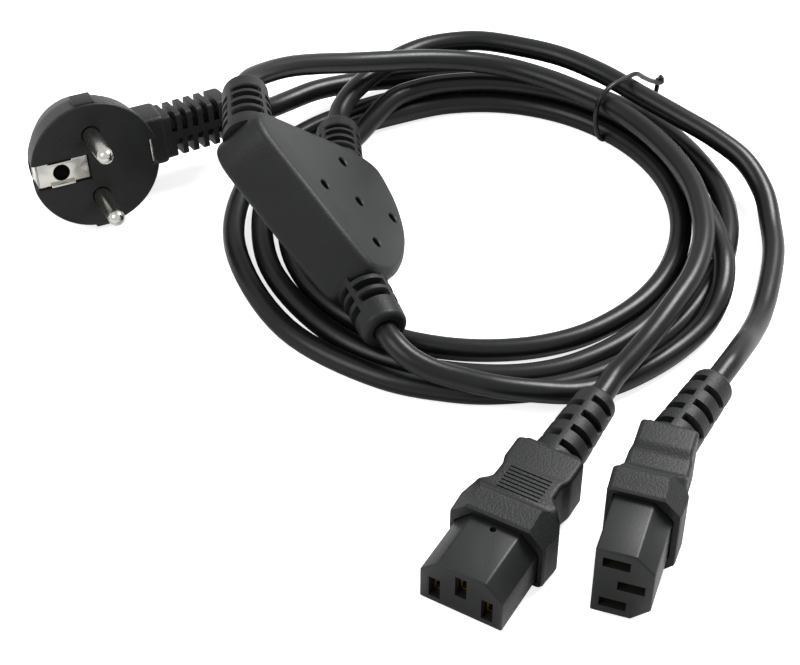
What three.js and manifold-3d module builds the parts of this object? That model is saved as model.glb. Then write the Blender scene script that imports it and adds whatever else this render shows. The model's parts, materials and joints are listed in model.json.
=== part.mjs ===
// A power cord splitter: one angled earthed two-pin mains plug, a coiled main cord,
// a moulded Y splitter box, and two leads that each end in a three-slot appliance connector.
// Millimetres, +Z up. The origin is on the floor under the middle of the splitter box,
// +X runs to the right and +Y runs to the far side of the coil.
import * as THREE from 'three';
import { mergeVertices } from 'three/addons/utils/BufferGeometryUtils.js';
import Module from 'manifold-3d';

const wasm = await Module();
wasm.setup();

// Gap kept between pieces that touch
const FIT = 0.3;

// Cords
const CORD_D = 6.3;
const CORE_D = 1.9;
const CORD_SEAT = 5;
const CORD_SIDES = 10;
const CORE_SIDES = 6;
const ROUND_SIDES = 16;

// Coil of the main cord
const COIL_X = 50;
const COIL_Y = 17;
const COIL_INNER_R = 55.5;
const COIL_OUTER_R = 77;
const COIL_HEIGHT = 6.5;
const COIL_SIDES = 56;

// Splitter box: the top face is z = 0 of its own frame, x runs from port A to port C along the
// straight side, and y runs from that side towards port B
const BOX_THICKNESS = 17;
const BOX_BEVEL = 2.4;
const BOX_WALL = 3.6;
const BOX_CAVITY_HEIGHT = 9;
const BOX_X = -11.6;
const BOX_Y = -4.7;
const BOX_Z = 52.8;
const BOX_ROLL = -33;
const BOX_DIP = 35.4;
const BOX_TURN = -40.3;
const MARK_HOLE_D = 3.1;
const MARK_HOLE_DEPTH = 1.6;
const MARK_HOLE_PITCH = 22;
const MARK_X = 28.5;
const MARK_Y = 23.5;
const MARK_TURN = 40;

// Strain reliefs of the splitter box
const BOX_RELIEF_ROOT_D = 14.4;
const BOX_RELIEF_END_D = 12.8;
const BOX_RELIEF_A = 22;
const BOX_RELIEF_B = 22;
const BOX_RELIEF_C = 17.8;
const GROOVE_WIDTH = 1.8;
const GROOVE_PITCH = 3.8;
const GROOVE_CORE_D = 9.4;
const SPINE_WIDTH = 1.8;

// Splices in the splitter box
const SPLICE_LENGTH = 9;
const SPLICE_OD = 6.4;
const SPLICE_BORE = 5.2;
const SPLICE_PITCH = 8.2;

// Mains plug: the face is y = 0 of its own frame and the pins point along -y
const PLUG_X = -61.6;
const PLUG_Y = 20;
const PLUG_Z = 20.4;
const PLUG_LEAN = 14;
const PLUG_TURN = 22.5;
const PLUG_FACE_D = 37.4;
const PLUG_FLANGE = 10;
const PLUG_DEPTH = 24;
const PLUG_BACK_D = 26;
const PLUG_FACE_WALL = 3;
const PLUG_CAVITY_D = 27.2;
const PLUG_CAVITY_DEPTH = 14;
const PIN_D = 4.8;
const PIN_LENGTH = 19;
const PIN_PITCH = 19;
const PIN_TAIL = 13;
const EARTH_OFFSET = 10;
const EARTH_BORE = 4.9;
const EARTH_SLEEVE_WALL = 0.5;
const EARTH_SLEEVE_LENGTH = 10;
const STRIP_WIDTH = 7.2;
const STRIP_THICKNESS = 0.8;
const STRIP_SINK = 0.9;
const STRIP_END = -2;
const NOTCH_DEPTH = 2.6;
const NOTCH_LENGTH = 10;
const BRIDGE_THICKNESS = 4;
const LUG_WIDTH = 6;
const LUG_HEIGHT = 1;
const LUG_LENGTH = 8;
const NECK_HEIGHT = 15;
const NECK_DEPTH = 13;
const NECK_END = 23;
const PLUG_AXIS_DEPTH = 12.5;
const PLUG_RELIEF_LENGTH = 21;
const PLUG_RELIEF_HEIGHT = 13.4;
const PLUG_RELIEF_DEPTH = 11.4;
const PLUG_RELIEF_TURN = 6;

// Appliance connectors: the face is y = 0 of its own frame, +z is the chamfered side
const NOSE_WIDTH = 22;
const NOSE_HEIGHT = 14.4;
const NOSE_CHAMFER = 4.6;
const NOSE_LENGTH = 17.4;
const NOSE_SEAT = 4;
const SLOT_PITCH = 14;
const SLOT_OFFSET = 4;
const SLOT_WIDTH = 3;
const SLOT_HEIGHT = 6.6;
const CONTACT_WALL = 0.4;
const CONTACT_SETBACK = 2.5;
const BARREL_LENGTH = 3.6;
const BARREL_OD = 3.6;
const BARREL_BORE = 2.6;
const SHROUD_WIDTH = 26.4;
const SHROUD_HEIGHT = 18.8;
const SHROUD_LENGTH = 8;
const SHROUD_CHAMFER = 5;
const WAIST_WIDTH = 16.4;
const WAIST_LENGTH = 10;
const GRIP_HEIGHT = 16.4;
const BLOCK_WIDTH = 18.4;
const BLOCK_HEIGHT = 14.6;
const BLOCK_LENGTH = 12;
const CONNECTOR_RELIEF_LENGTH = 26;
const CONNECTOR_RELIEF_ROOT_D = 13.4;
const CONNECTOR_RELIEF_END_D = 11;
const CONNECTOR_1 = { x: 39.1, y: -127.4, turn: -30, onSide: false, bend: 0 };
const CONNECTOR_2 = { x: 76.5, y: -128.4, turn: -18.6, onSide: true, bend: 14 };

// Cable tie
const TIE_WIRE_D = 1.9;
const TIE_TURN = 47;

// Moulded, metal and core finishes
const JACKET = { color: 0x1f2120, roughness: 0.5, metalness: 0 };
const MOULDED = { color: 0x2b2c2c, roughness: 0.6, metalness: 0 };
const INSERT = { color: 0x333535, roughness: 0.55, metalness: 0 };
const BRIDGE = { color: 0xd8d5cc, roughness: 0.6, metalness: 0 };
const NICKEL = { color: 0xc9cacb, roughness: 0.22, metalness: 1 };
const BRASS = { color: 0xb89a55, roughness: 0.35, metalness: 1 };
const BROWN = { color: 0x6b3f22, roughness: 0.5, metalness: 0 };
const BLUE = { color: 0x2a5fa8, roughness: 0.5, metalness: 0 };
const GREEN = { color: 0x5c9a3a, roughness: 0.5, metalness: 0 };

const radians = THREE.MathUtils.degToRad;
const vec = (x, y, z) => new THREE.Vector3(x, y, z);

// Solids: a closed geometry becomes a manifold and comes back after the cuts
function toSolid(geometry) {
  const bare = geometry.index ? geometry.toNonIndexed() : geometry.clone();
  bare.deleteAttribute('normal');
  bare.deleteAttribute('uv');
  const merged = mergeVertices(bare, 1e-4);
  const vertProperties = new Float32Array(merged.attributes.position.array);
  const triVerts = new Uint32Array(merged.index.array);
  const solid = new wasm.Manifold(new wasm.Mesh({ numProp: 3, vertProperties, triVerts }));
  if (solid.volume() > 0) {
    return solid;
  }
  for (let i = 0; i < triVerts.length; i += 3) {
    [triVerts[i], triVerts[i + 1]] = [triVerts[i + 1], triVerts[i]];
  }
  return new wasm.Manifold(new wasm.Mesh({ numProp: 3, vertProperties, triVerts }));
}

function toGeometry(solid) {
  const mesh = solid.getMesh();
  const geometry = new THREE.BufferGeometry();
  geometry.setAttribute('position', new THREE.BufferAttribute(mesh.vertProperties, 3));
  geometry.setIndex(new THREE.BufferAttribute(mesh.triVerts, 1));
  geometry.computeVertexNormals();
  return geometry;
}

function block(x0, x1, y0, y1, z0, z1) {
  const geometry = new THREE.BoxGeometry(x1 - x0, y1 - y0, z1 - z0);
  geometry.translate((x0 + x1) / 2, (y0 + y1) / 2, (z0 + z1) / 2);
  return toSolid(geometry);
}

function rod(from, to, radiusFrom, radiusTo = radiusFrom, sides = ROUND_SIDES) {
  const run = new THREE.Vector3().subVectors(to, from);
  const geometry = new THREE.CylinderGeometry(radiusTo, radiusFrom, run.length(), sides);
  geometry.translate(0, run.length() / 2, 0);
  geometry.applyQuaternion(new THREE.Quaternion().setFromUnitVectors(vec(0, 1, 0), run.normalize()));
  geometry.translate(from.x, from.y, from.z);
  return toSolid(geometry);
}

// A prism of an outline in x and y, from z = 0 up, with its edges bevelled inside the outline
function prism(points, depth, bevel = 0) {
  const shape = new THREE.Shape(points);
  const geometry = new THREE.ExtrudeGeometry(shape, {
    depth: depth - 2 * bevel,
    bevelEnabled: bevel > 0,
    bevelThickness: bevel,
    bevelSize: bevel,
    bevelOffset: -bevel,
    bevelSegments: 2,
    steps: 1,
  });
  geometry.translate(0, 0, bevel);
  return toSolid(geometry);
}

// A solid of revolution about +y from [radius, y] pairs
function turned(profile, sides = ROUND_SIDES) {
  const points = profile.map(([r, y]) => new THREE.Vector2(r, y));
  return toSolid(new THREE.LatheGeometry(points, sides));
}

// A round tube along a smooth route
function tube(points, diameter, sides, steps) {
  const section = new THREE.Shape();
  for (let i = 0; i < sides; i += 1) {
    const angle = (2 * Math.PI * i) / sides;
    const x = (diameter / 2) * Math.cos(angle);
    const y = (diameter / 2) * Math.sin(angle);
    if (i === 0) {
      section.moveTo(x, y);
    } else {
      section.lineTo(x, y);
    }
  }
  const route = new THREE.CatmullRomCurve3(points, false, 'centripetal');
  return toSolid(new THREE.ExtrudeGeometry(section, { extrudePath: route, steps, bevelEnabled: false }));
}

function join(solids) {
  return solids.reduce((all, solid) => all.add(solid));
}

function cut(solid, cutters) {
  return cutters.reduce((left, cutter) => left.subtract(cutter), solid);
}

function named(name, solid, finish) {
  const mesh = new THREE.Mesh(toGeometry(solid), new THREE.MeshStandardMaterial(finish));
  mesh.name = name;
  return mesh;
}

// Moves an outline inwards by a distance, edge by edge
function inset(points, distance) {
  const count = points.length;
  const lines = points.map((point, i) => {
    const next = points[(i + 1) % count];
    const along = new THREE.Vector2().subVectors(next, point).normalize();
    const normal = new THREE.Vector2(-along.y, along.x);
    return { point: point.clone().addScaledVector(normal, distance), along };
  });
  return lines.map((line, i) => {
    const previous = lines[(i + count - 1) % count];
    const cross = previous.along.x * line.along.y - previous.along.y * line.along.x;
    const gap = new THREE.Vector2().subVectors(line.point, previous.point);
    const reach = (gap.x * line.along.y - gap.y * line.along.x) / cross;
    return previous.point.clone().addScaledVector(previous.along, reach);
  });
}

// Ring grooves across a strain relief, left whole at its core and at two spines.
// The relief runs along +y from y = 0 in this frame.
function grooves(start, count, reach, spineAcrossX) {
  const rings = [];
  for (let i = 0; i < count; i += 1) {
    const y = start + i * GROOVE_PITCH;
    rings.push(block(-reach, reach, y, y + GROOVE_WIDTH, -reach, reach));
  }
  const length = start + count * GROOVE_PITCH;
  const core = rod(vec(0, -1, 0), vec(0, length, 0), GROOVE_CORE_D / 2);
  const half = SPINE_WIDTH / 2;
  const spine = spineAcrossX
    ? block(-reach, reach, -1, length, -half, half)
    : block(-half, half, -1, length, -reach, reach);
  return cut(join(rings), [core, spine]);
}

// A round strain relief along +y with its grooves and a rounded end
function roundRelief(length, rootD, endD) {
  const endRound = 1.2;
  const shape = turned([
    [0, -4],
    [rootD / 2, -4],
    [rootD / 2, 0],
    [endD / 2, length - endRound],
    [endD / 2 - endRound, length],
    [0, length],
  ]);
  const first = GROOVE_WIDTH;
  const count = Math.floor((length - first - GROOVE_PITCH) / GROOVE_PITCH);
  return cut(shape, [grooves(first, count, rootD, true)]);
}

function moved(solid, matrix) {
  return solid.transform(matrix.elements);
}

// The frame of a relief: its root, and the turn and lift of its +y direction
function portFrame(x, y, z, turn, lift) {
  const matrix = new THREE.Matrix4().makeTranslation(x, y, z);
  matrix.multiply(new THREE.Matrix4().makeRotationZ(radians(turn - 90)));
  return matrix.multiply(new THREE.Matrix4().makeRotationX(radians(lift)));
}

const part = new THREE.Group();

// Splitter box
const boxMiddle = -BOX_THICKNESS / 2;
const boxPorts = {
  a: { frame: portFrame(-1, 8.5, boxMiddle, 125, 0), length: BOX_RELIEF_A },
  b: { frame: portFrame(19, 45, boxMiddle, 120, 0), length: BOX_RELIEF_B },
  c: { frame: portFrame(49, 5.5, boxMiddle, -39, 7.5), length: BOX_RELIEF_C },
};
const boxOutline = [
  [-6, 0], [-1, -1.2], [45.5, -1.2], [49.5, 2], [53, 11], [51, 23], [46, 35], [37, 45],
  [26, 50.5], [20.5, 48], [13, 38.5], [5, 24], [-5.5, 8],
].map(([x, y]) => new THREE.Vector2(x, y));

function splitterBody() {
  const shell = moved(prism(boxOutline, BOX_THICKNESS, BOX_BEVEL),
    new THREE.Matrix4().makeTranslation(0, 0, -BOX_THICKNESS));
  const cavity = moved(prism(inset(boxOutline, BOX_WALL), BOX_CAVITY_HEIGHT),
    new THREE.Matrix4().makeTranslation(0, 0, boxMiddle - BOX_CAVITY_HEIGHT / 2));
  const reliefs = [];
  const bores = [];
  for (const { frame, length } of Object.values(boxPorts)) {
    reliefs.push(moved(roundRelief(length, BOX_RELIEF_ROOT_D, BOX_RELIEF_END_D), frame));
    bores.push(moved(rod(vec(0, -CORD_SEAT, 0), vec(0, length + 1, 0), CORD_D / 2 + FIT), frame));
  }
  const marks = [[0, 0], [1, 1], [1, -1], [-1, 1], [-1, -1]].map(([i, j]) => {
    const spot = vec(i, j, 0).multiplyScalar(MARK_HOLE_PITCH / 2);
    spot.applyAxisAngle(vec(0, 0, 1), radians(MARK_TURN));
    spot.add(vec(MARK_X, MARK_Y, 0));
    const floor = spot.clone().setZ(-MARK_HOLE_DEPTH);
    return rod(floor, spot.setZ(1), MARK_HOLE_D / 2, MARK_HOLE_D / 2, 12);
  });
  return cut(join([shell, ...reliefs]), [cavity, ...bores, ...marks]);
}

const splitter = new THREE.Group();
splitter.position.set(BOX_X, BOX_Y, BOX_Z);
splitter.rotation.set(radians(BOX_ROLL), radians(BOX_DIP), radians(BOX_TURN), 'ZYX');
splitter.add(named('splitter_body', splitterBody(), MOULDED));

// Three splices side by side across the box, each joining the main core to both leads' cores
const spliceFrame = new THREE.Matrix4().makeTranslation(32, 16.5, boxMiddle);
spliceFrame.multiply(new THREE.Matrix4().makeRotationZ(radians(59)));
const poles = [
  { name: 'line', finish: BROWN, place: -1 },
  { name: 'earth', finish: GREEN, place: 0 },
  { name: 'neutral', finish: BLUE, place: 1 },
];

function splice(place) {
  const x = place * SPLICE_PITCH;
  const half = SPLICE_LENGTH / 2;
  const sleeve = rod(vec(x, -half, 0), vec(x, half, 0), SPLICE_OD / 2, SPLICE_OD / 2, 16);
  const bore = rod(vec(x, -half - 1, 0), vec(x, half + 1, 0), SPLICE_BORE / 2, SPLICE_BORE / 2, 16);
  return moved(cut(sleeve, [bore]), spliceFrame);
}

// A core from a cord's end in the box to its seat in a splice. Port A's cores leave its cord one
// above the other, the others side by side, and the ports' frames face out, so port C counts
// its cores the other way across. Port B's cores dip under those of port A.
function boxCore(port, place, level) {
  const flip = port === 'c' ? -1 : 1;
  const across = place * (CORE_D + FIT);
  const behind = -CORD_SEAT - 2 * FIT;
  const start = port === 'a' ? vec(0, behind - CORE_D / 2, across) : vec(flip * across, behind, 0);
  start.applyMatrix4(boxPorts[port].frame);
  const inside = flip * SPLICE_LENGTH / 2;
  const seats = [1.7, 1.1, 0.3].map((share) => {
    const point = vec(place * SPLICE_PITCH, share * inside, level);
    return point.applyMatrix4(spliceFrame);
  });
  const halfway = start.clone().lerp(seats[0], 0.6);
  halfway.z = port === 'b' ? start.z - CORE_D : start.z;
  return tube([start, halfway, ...seats], CORE_D, CORE_SIDES, 10);
}

for (const { name, finish, place } of poles) {
  splitter.add(named(`splice_${name}`, splice(place), BRASS));
  const level = (SPLICE_BORE - CORE_D) / 2 - FIT;
  splitter.add(named(`main_core_${name}`, boxCore('c', place, 0), finish));
  splitter.add(named(`lead_a_core_${name}`, boxCore('a', place, level), finish));
  splitter.add(named(`lead_b_core_${name}`, boxCore('b', place, -level), finish));
}
part.add(splitter);

// Mains plug
const faceR = PLUG_FACE_D / 2;
const stripHalf = STRIP_WIDTH / 2;
const crossY = PLUG_FACE_WALL + BRIDGE_THICKNESS + 2 * FIT;
const sleeveR = EARTH_BORE / 2 + EARTH_SLEEVE_WALL;
const legX = faceR - NOTCH_DEPTH + FIT;
const plugPort = new THREE.Matrix4().makeTranslation(NECK_END, PLUG_AXIS_DEPTH, 0);
plugPort.multiply(new THREE.Matrix4().makeRotationZ(radians(PLUG_RELIEF_TURN - 90)));

function plugRelief() {
  const halfX = PLUG_RELIEF_DEPTH / 2;
  const halfZ = PLUG_RELIEF_HEIGHT / 2;
  const length = PLUG_RELIEF_LENGTH;
  const bar = block(-halfX, halfX, -6, length, -halfZ, halfZ);
  const taper = prism([
    [-halfX, -7], [halfX, -7], [halfX, 0], [halfX, length - 3], [halfX - 2, length],
    [2 - halfX, length], [-halfX, length - 3],
  ].map(([x, y]) => new THREE.Vector2(x, y)), PLUG_RELIEF_HEIGHT);
  const solid = bar.intersect(moved(taper, new THREE.Matrix4().makeTranslation(0, 0, -halfZ)));
  return cut(solid, [grooves(GROOVE_WIDTH, 4, PLUG_RELIEF_HEIGHT, true)]);
}

function plugBody() {
  const backR = PLUG_BACK_D / 2;
  const disc = turned([[0, 0], [faceR, 0], [faceR - 1, PLUG_FLANGE], [backR + 3, PLUG_FLANGE + 6],
    [backR, PLUG_DEPTH - 2], [backR - 2, PLUG_DEPTH], [0, PLUG_DEPTH]], 32);
  const neckHalf = NECK_HEIGHT / 2;
  const neckFront = PLUG_AXIS_DEPTH - NECK_DEPTH / 2;
  const neck = block(0, NECK_END, neckFront, neckFront + NECK_DEPTH, -neckHalf, neckHalf);
  const lugs = [1, -1].map((side) => {
    const inner = side * (faceR - 3);
    const outer = side * (faceR - 0.7 + LUG_HEIGHT);
    const [low, high] = side > 0 ? [inner, outer] : [outer, inner];
    return block(-LUG_WIDTH / 2, LUG_WIDTH / 2, 0.6, LUG_LENGTH, low, high);
  });
  const relief = moved(plugRelief(), plugPort);
  const cavity = rod(vec(0, PLUG_FACE_WALL, 0), vec(0, PLUG_FACE_WALL + PLUG_CAVITY_DEPTH, 0),
    PLUG_CAVITY_D / 2, PLUG_CAVITY_D / 2, 24);
  const bore = moved(rod(vec(0, PLUG_CAVITY_D / 2 - NECK_END - 2, 0), vec(0, PLUG_RELIEF_LENGTH + 1, 0),
    CORD_D / 2 + FIT), plugPort);
  const pinHoles = [1, -1].map((side) => {
    const z = (side * PIN_PITCH) / 2;
    return rod(vec(0, -1, z), vec(0, crossY, z), PIN_D / 2 + FIT);
  });
  const sleeveHole = rod(vec(-EARTH_OFFSET, 0, 0), vec(-EARTH_OFFSET, crossY, 0), sleeveR + FIT);
  const stripTop = STRIP_SINK - FIT;
  const stripFloor = STRIP_SINK + STRIP_THICKNESS + FIT;
  const wide = stripHalf + FIT;
  const recess = block(-faceR - 1, STRIP_END + FIT, -1, stripFloor, -wide, wide);
  const drop = block(STRIP_END - STRIP_THICKNESS - FIT, STRIP_END + FIT, stripTop, crossY, -wide, wide);
  const notches = [
    block(-faceR - 1, NOTCH_DEPTH - faceR, -1, NOTCH_LENGTH, -wide, wide),
    block(faceR - NOTCH_DEPTH, faceR + 1, -1, NOTCH_LENGTH, -wide, wide),
  ];
  const pass = block(PLUG_CAVITY_D / 2 - 1, faceR, crossY - FIT, crossY + STRIP_THICKNESS + FIT,
    -wide, wide);
  return cut(join([disc, neck, ...lugs, relief]),
    [cavity, bore, ...pinHoles, sleeveHole, recess, drop, ...notches, pass]);
}

function plugPin(side) {
  const z = (side * PIN_PITCH) / 2;
  const r = PIN_D / 2;
  const tail = r - 0.6;
  const cup = CORE_D / 2 + FIT;
  const outside = turned([[0, -PIN_LENGTH], [r * 0.5, 0.3 - PIN_LENGTH], [r * 0.87, 1.2 - PIN_LENGTH],
    [r, 2.4 - PIN_LENGTH], [r, crossY - FIT], [tail, crossY + 1], [tail, PIN_TAIL],
    [cup, PIN_TAIL], [cup, PIN_TAIL - 2.4], [0, PIN_TAIL - 2.4]]);
  return moved(outside, new THREE.Matrix4().makeTranslation(0, 0, z));
}

// The earth strip: a plate with a hole on the face, a leg down each side notch, and the link
// that drops through the face and crosses behind the bridge
function earthStrip() {
  const t = STRIP_THICKNESS;
  const y0 = STRIP_SINK;
  const h = stripHalf;
  const plate = block(-legX - t, STRIP_END, y0, y0 + t, -h, h);
  const leftLeg = block(-legX - t, -legX, y0, NOTCH_LENGTH - FIT, -h, h);
  const drop = block(STRIP_END - t, STRIP_END, y0, crossY + t, -h, h);
  const cross = block(STRIP_END - t, legX + t, crossY, crossY + t, -h, h);
  const rightLeg = block(legX, legX + t, y0, crossY + t, -h, h);
  const hole = rod(vec(-EARTH_OFFSET, -1, 0), vec(-EARTH_OFFSET, 3, 0), EARTH_BORE / 2);
  return cut(join([plate, leftLeg, drop, cross, rightLeg]), [hole]);
}

function earthSleeve() {
  const y0 = STRIP_SINK + STRIP_THICKNESS + FIT;
  const y1 = y0 + EARTH_SLEEVE_LENGTH;
  return cut(rod(vec(-EARTH_OFFSET, y0, 0), vec(-EARTH_OFFSET, y1, 0), sleeveR),
    [rod(vec(-EARTH_OFFSET, y0 - 1, 0), vec(-EARTH_OFFSET, y1 + 1, 0), EARTH_BORE / 2)]);
}

// The stiff bridge inside the plug that keeps the pins and the earth contact apart
function plugBridge() {
  const y0 = PLUG_FACE_WALL + FIT;
  const y1 = y0 + BRIDGE_THICKNESS;
  const r = PLUG_CAVITY_D / 2 - FIT;
  const disc = rod(vec(0, y0, 0), vec(0, y1, 0), r, r, 24);
  const holes = [1, -1].map((side) => {
    const z = (side * PIN_PITCH) / 2;
    return rod(vec(0, y0 - 1, z), vec(0, y1 + 1, z), PIN_D / 2 + FIT);
  });
  const earth = rod(vec(-EARTH_OFFSET, y0 - 1, 0), vec(-EARTH_OFFSET, y1 + 1, 0), sleeveR + FIT);
  const slot = block(STRIP_END - STRIP_THICKNESS - FIT, STRIP_END + FIT, y0 - 1, y1 + 1,
    -stripHalf - FIT, stripHalf + FIT);
  return cut(disc, [...holes, earth, slot]);
}

// A core from the cord's end in the plug's neck to its terminal
function plugCore(place, terminal) {
  const across = place * (CORE_D + FIT);
  const start = vec(0, -CORD_SEAT - FIT, across).applyMatrix4(plugPort);
  const lead = vec(0, -CORD_SEAT - 8, across).applyMatrix4(plugPort);
  return tube([start, lead, ...terminal], CORE_D, CORE_SIDES, 10);
}

const plug = new THREE.Group();
plug.position.set(PLUG_X, PLUG_Y, PLUG_Z);
plug.rotation.set(radians(-PLUG_LEAN), 0, radians(PLUG_TURN), 'ZYX');
plug.add(named('plug_body', plugBody(), MOULDED));
plug.add(named('plug_pin_line', plugPin(1), NICKEL));
plug.add(named('plug_pin_neutral', plugPin(-1), NICKEL));
plug.add(named('plug_earth_strip', earthStrip(), NICKEL));
plug.add(named('plug_earth_sleeve', earthSleeve(), NICKEL));
plug.add(named('plug_bridge', plugBridge(), BRIDGE));
for (const [name, finish, side] of [['line', BROWN, 1], ['neutral', BLUE, -1]]) {
  const z = (side * PIN_PITCH) / 2;
  const terminal = [vec(1.6, PIN_TAIL + 2, z), vec(0.1, PIN_TAIL + 0.6, z), vec(0, PIN_TAIL - 1.6, z)];
  plug.add(named(`plug_core_${name}`, plugCore(side, terminal), finish));
}
const stripBack = crossY + STRIP_THICKNESS + FIT + CORE_D / 2;
plug.add(named('plug_core_earth', plugCore(0, [vec(2, stripBack, 0), vec(-1, stripBack, 0)]), GREEN));
part.add(plug);

// Appliance connectors
const noseRear = NOSE_LENGTH + NOSE_SEAT;
const bodyRear = NOSE_LENGTH + SHROUD_LENGTH + WAIST_LENGTH + BLOCK_LENGTH;
const barrelFront = noseRear + FIT;
const barrelRear = barrelFront + BARREL_LENGTH;

// The nose's outline seen from the front: flat below, with its two upper corners cut off
function noseOutline(width, height, chamfer) {
  const w = width / 2;
  const h = height / 2;
  return [[-w, -h], [w, -h], [w, h - chamfer], [w - chamfer, h], [chamfer - w, h], [-w, h - chamfer]]
    .map(([x, z]) => new THREE.Vector2(x, z));
}

// A prism of an outline in x and z that runs along y
function along(points, y0, y1, bevel = 0) {
  const matrix = new THREE.Matrix4().makeTranslation(0, y1, 0);
  matrix.multiply(new THREE.Matrix4().makeRotationX(Math.PI / 2));
  return moved(prism(points, y1 - y0, bevel), matrix);
}

function slotPlaces() {
  return [
    { name: 'line', x: -SLOT_PITCH / 2, z: -SLOT_OFFSET / 2 },
    { name: 'earth', x: 0, z: SLOT_OFFSET / 2 },
    { name: 'neutral', x: SLOT_PITCH / 2, z: -SLOT_OFFSET / 2 },
  ];
}

function connectorNose() {
  const nose = along(noseOutline(NOSE_WIDTH, NOSE_HEIGHT, NOSE_CHAMFER), 0, noseRear);
  const slots = slotPlaces().map(({ x, z }) => block(x - SLOT_WIDTH / 2, x + SLOT_WIDTH / 2, -1,
    noseRear + 1, z - SLOT_HEIGHT / 2, z + SLOT_HEIGHT / 2));
  return cut(nose, slots);
}

// The overmould: a shroud with cut corners, a waist to grip, and a plain block at the rear
function connectorBody(bend) {
  const y1 = NOSE_LENGTH + SHROUD_LENGTH;
  const y2 = y1 + WAIST_LENGTH;
  const [s, w, b] = [SHROUD_WIDTH / 2, WAIST_WIDTH / 2, BLOCK_WIDTH / 2];
  const right = [[s - 0.8, NOSE_LENGTH], [s, y1 - 1], [s - 0.6, y1], [s - 2.6, y1 + 2.2],
    [w + 0.8, y1 + 5.5], [w, y2], [b, y2 + 4], [b, bodyRear - 2], [b - 2, bodyRear]];
  const left = right.map(([x, y]) => [-x, y]).reverse();
  const plan = prism([...right, ...left].map(([x, y]) => new THREE.Vector2(x, y)), SHROUD_HEIGHT);
  const centred = moved(plan, new THREE.Matrix4().makeTranslation(0, 0, -SHROUD_HEIGHT / 2));
  const [hs, hg, hb] = [SHROUD_HEIGHT / 2, GRIP_HEIGHT / 2, BLOCK_HEIGHT / 2];
  const upper = [[NOSE_LENGTH, hs - 0.5], [y1, hs], [y1 + 1.6, hg], [y2, hg - 0.4], [y2 + 3, hb],
    [bodyRear - 1.5, hb], [bodyRear, hb - 1.5]];
  const lower = upper.map(([y, z]) => [y, -z]).reverse();
  const side = prism([...upper, ...lower].map(([y, z]) => new THREE.Vector2(y, z)), SHROUD_WIDTH);
  const upright = new THREE.Matrix4().makeTranslation(-SHROUD_WIDTH / 2, 0, 0);
  upright.multiply(new THREE.Matrix4().makeBasis(vec(0, 1, 0), vec(0, 0, 1), vec(1, 0, 0)));
  const end = along(noseOutline(SHROUD_WIDTH, SHROUD_HEIGHT, SHROUD_CHAMFER), NOSE_LENGTH, bodyRear);
  const shell = centred.intersect(moved(side, upright)).intersect(end);
  const reliefFrame = new THREE.Matrix4().makeTranslation(0, bodyRear, 0);
  reliefFrame.multiply(new THREE.Matrix4().makeRotationX(radians(bend)));
  const relief = roundRelief(CONNECTOR_RELIEF_LENGTH, CONNECTOR_RELIEF_ROOT_D, CONNECTOR_RELIEF_END_D);
  const pocket = along(noseOutline(NOSE_WIDTH + 2 * FIT, NOSE_HEIGHT + 2 * FIT, NOSE_CHAMFER),
    NOSE_LENGTH - 1, noseRear + FIT);
  const room = BARREL_OD / 2 + FIT;
  const deep = SLOT_OFFSET / 2 + SLOT_HEIGHT / 2;
  const crimps = block(-SLOT_PITCH / 2 - room, SLOT_PITCH / 2 + room, noseRear,
    barrelRear + CORE_D + 2 * FIT, -deep, deep);
  const chamber = block(-SLOT_PITCH / 2, SLOT_PITCH / 2, barrelRear, bodyRear - CORD_SEAT,
    -SLOT_OFFSET / 2 - room, SLOT_OFFSET / 2 + room);
  const bore = rod(vec(0, -CORD_SEAT - 1, 0), vec(0, CONNECTOR_RELIEF_LENGTH + 1, 0), CORD_D / 2 + FIT);
  return cut(join([shell, moved(relief, reliefFrame)]),
    [pocket, crimps, chamber, moved(bore, reliefFrame)]);
}

// A folded sheet contact with a round crimp barrel behind it
function contact(x, z) {
  const w = SLOT_WIDTH / 2 - FIT;
  const h = SLOT_HEIGHT / 2 - FIT;
  const wi = w - CONTACT_WALL;
  const hi = h - CONTACT_WALL;
  const outer = BARREL_OD / 2;
  const inner = BARREL_BORE / 2;
  const sleeve = block(x - w, x + w, CONTACT_SETBACK, barrelFront + 0.6, z - h, z + h);
  const mouth = block(x - wi, x + wi, CONTACT_SETBACK - 1, barrelFront - 2, z - hi, z + hi);
  const barrel = block(x - outer, x + outer, barrelFront, barrelRear, z - outer, z + outer);
  const bore = block(x - inner, x + inner, barrelFront + 1.2, barrelRear + 1, z - inner, z + inner);
  return cut(join([sleeve, barrel]), [mouth, bore]);
}

// A core from the lead's end in the connector to its contact
function connectorCore({ x, z }) {
  const rear = bodyRear - CORD_SEAT - CORE_D;
  const start = vec(Math.sign(x) * (CORE_D + FIT), rear, z / 2);
  const bend = vec(x * 0.55, barrelRear + 7, z * 0.8);
  const mouth = vec(x * 0.88, barrelRear + 2, z);
  return tube([start, bend, mouth, vec(x, barrelRear - 0.6, z), vec(x, barrelRear - 2, z)], CORE_D,
    CORE_SIDES, 12);
}

const connectors = [['connector_1', CONNECTOR_1], ['connector_2', CONNECTOR_2]];
for (const [name, { x, y, turn, onSide, bend }] of connectors) {
  const connector = new THREE.Group();
  connector.position.set(x, y, (onSide ? SHROUD_WIDTH : SHROUD_HEIGHT) / 2);
  connector.rotation.set(0, onSide ? Math.PI / 2 : 0, radians(turn), 'ZYX');
  connector.add(named(`${name}_body`, connectorBody(bend), MOULDED));
  connector.add(named(`${name}_nose`, connectorNose(), INSERT));
  for (const place of slotPlaces()) {
    const core = { line: BROWN, earth: GREEN, neutral: BLUE }[place.name];
    connector.add(named(`${name}_core_${place.name}`, connectorCore(place), core));
    connector.add(named(`${name}_contact_${place.name}`, contact(place.x, place.z), BRASS));
  }
  part.add(connector);
}

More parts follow.
